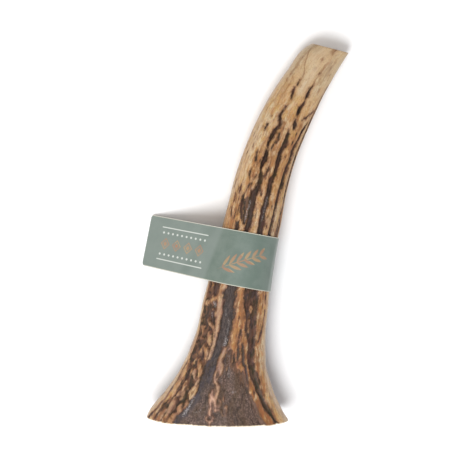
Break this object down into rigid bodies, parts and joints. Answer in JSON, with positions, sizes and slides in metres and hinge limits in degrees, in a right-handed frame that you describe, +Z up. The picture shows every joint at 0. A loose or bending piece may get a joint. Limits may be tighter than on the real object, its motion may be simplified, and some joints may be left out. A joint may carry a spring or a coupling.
{
  "type": "deer antler piece",
  "caption": "Sawn, curved piece of deer antler with a wide flared base and a narrow end, lying on its side, with a plain printed card band glued round its middle.",
  "frame": {"origin": "on the resting surface, under the middle of the object's bounding box, as it lies", "axes": "+Z up from the resting surface, +Y along the antler from the wide sawn base to the narrow end, +X to the side that the narrow end curves to"},
  "size_m": [0.1041, 0.1907, 0.0332],
  "materials": {
    "antler": "dry and slightly polished on the ridges, tan with dark brown veins and a cream, porous sawn face",
    "printed_card": "smooth matt grey-green card with cream cut edges"
  },
  "bodies": {
    "root": {"antler": "antler", "card_band": "printed_card"}
  },
  "joints": []
}
